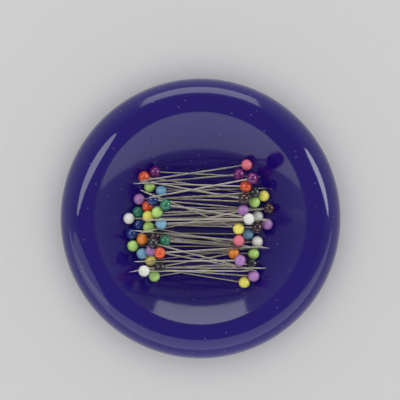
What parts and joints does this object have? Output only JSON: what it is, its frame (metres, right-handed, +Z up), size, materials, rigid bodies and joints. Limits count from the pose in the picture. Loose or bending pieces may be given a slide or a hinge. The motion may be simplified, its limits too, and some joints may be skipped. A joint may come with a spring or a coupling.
{
  "type": "magnetic pin cushion",
  "caption": "Round magnetic pin dish with a rolled rim and a hollow bowl holding a heap of ball-head pins, several of which lift off",
  "frame": {"origin": "on the dish's axis, on the surface that its feet stand on", "axes": "+Z up out of the bowl, +X along the pins towards the right-hand heads, +Y away from someone who looks into the bowl"},
  "size_m": [0.1048, 0.1048, 0.0307],
  "materials": {
    "dish_plastic": "polished moulded plastic",
    "cover_plastic": "fine moulded texture",
    "keeper_steel": "zinc plated",
    "magnet_ferrite": "ground ferrite",
    "pad_foam": "closed-cell foam",
    "screw_steel": "zinc plated",
    "foot_rubber": "matt rubber",
    "pin_steel": "nickel plated, polished",
    "head_black": "polished ball head",
    "head_brown": "polished ball head",
    "head_green": "polished ball head",
    "head_lilac": "polished ball head",
    "head_lime": "polished ball head",
    "head_navy": "polished ball head",
    "head_orange": "polished ball head",
    "head_pink": "polished ball head",
    "head_purple": "polished ball head",
    "head_red": "polished ball head",
    "head_sky": "polished ball head",
    "head_white": "polished ball head",
    "head_yellow": "polished ball head"
  },
  "bodies": {
    "dish": {"dish_shell": "dish_plastic", "base_cover": "cover_plastic", "keeper_plate": "keeper_steel", "magnet_ring": "magnet_ferrite", "magnet_pad": "pad_foam", "cover_screws": "screw_steel", "rubber_foot_1": "foot_rubber", "rubber_foot_2": "foot_rubber", "rubber_foot_3": "foot_rubber", "rubber_foot_4": "foot_rubber"},
    "pin_heap": {"heap_heads_black": "head_black", "heap_heads_brown": "head_brown", "heap_heads_green": "head_green", "heap_heads_lilac": "head_lilac", "heap_heads_lime": "head_lime", "heap_heads_navy": "head_navy", "heap_heads_orange": "head_orange", "heap_heads_purple": "head_purple", "heap_heads_red": "head_red", "heap_heads_sky": "head_sky", "heap_heads_white": "head_white", "heap_heads_yellow": "head_yellow", "heap_shanks": "pin_steel"},
    "loose_pin_1": {"loose_pin_1_head": "head_pink", "loose_pin_1_shank": "pin_steel"},
    "loose_pin_2": {"loose_pin_2_head": "head_purple", "loose_pin_2_shank": "pin_steel"},
    "loose_pin_3": {"loose_pin_3_head": "head_white", "loose_pin_3_shank": "pin_steel"},
    "loose_pin_4": {"loose_pin_4_head": "head_pink", "loose_pin_4_shank": "pin_steel"},
    "loose_pin_5": {"loose_pin_5_head": "head_red", "loose_pin_5_shank": "pin_steel"},
    "loose_pin_6": {"loose_pin_6_head": "head_lilac", "loose_pin_6_shank": "pin_steel"},
    "loose_pin_7": {"loose_pin_7_head": "head_white", "loose_pin_7_shank": "pin_steel"}
  },
  "joints": [
    {"name": "pin_heap_lift", "type": "slide", "parent": "dish", "child": "pin_heap", "axis": [0, 0, 1], "range_m": [0, 0.03]},
    {"name": "loose_pin_1_lift", "type": "slide", "parent": "pin_heap", "child": "loose_pin_1", "axis": [0, 0, 1], "range_m": [0, 0.04]},
    {"name": "loose_pin_2_lift", "type": "slide", "parent": "pin_heap", "child": "loose_pin_2", "axis": [0, 0, 1], "range_m": [0, 0.04]},
    {"name": "loose_pin_3_lift", "type": "slide", "parent": "pin_heap", "child": "loose_pin_3", "axis": [0, 0, 1], "range_m": [0, 0.04]},
    {"name": "loose_pin_4_lift", "type": "slide", "parent": "pin_heap", "child": "loose_pin_4", "axis": [0, 0, 1], "range_m": [0, 0.04]},
    {"name": "loose_pin_5_lift", "type": "slide", "parent": "pin_heap", "child": "loose_pin_5", "axis": [0, 0, 1], "range_m": [0, 0.04]},
    {"name": "loose_pin_6_lift", "type": "slide", "parent": "pin_heap", "child": "loose_pin_6", "axis": [0, 0, 1], "range_m": [0, 0.04]},
    {"name": "loose_pin_7_lift", "type": "slide", "parent": "pin_heap", "child": "loose_pin_7", "axis": [0, 0, 1], "range_m": [0, 0.04]}
  ]
}
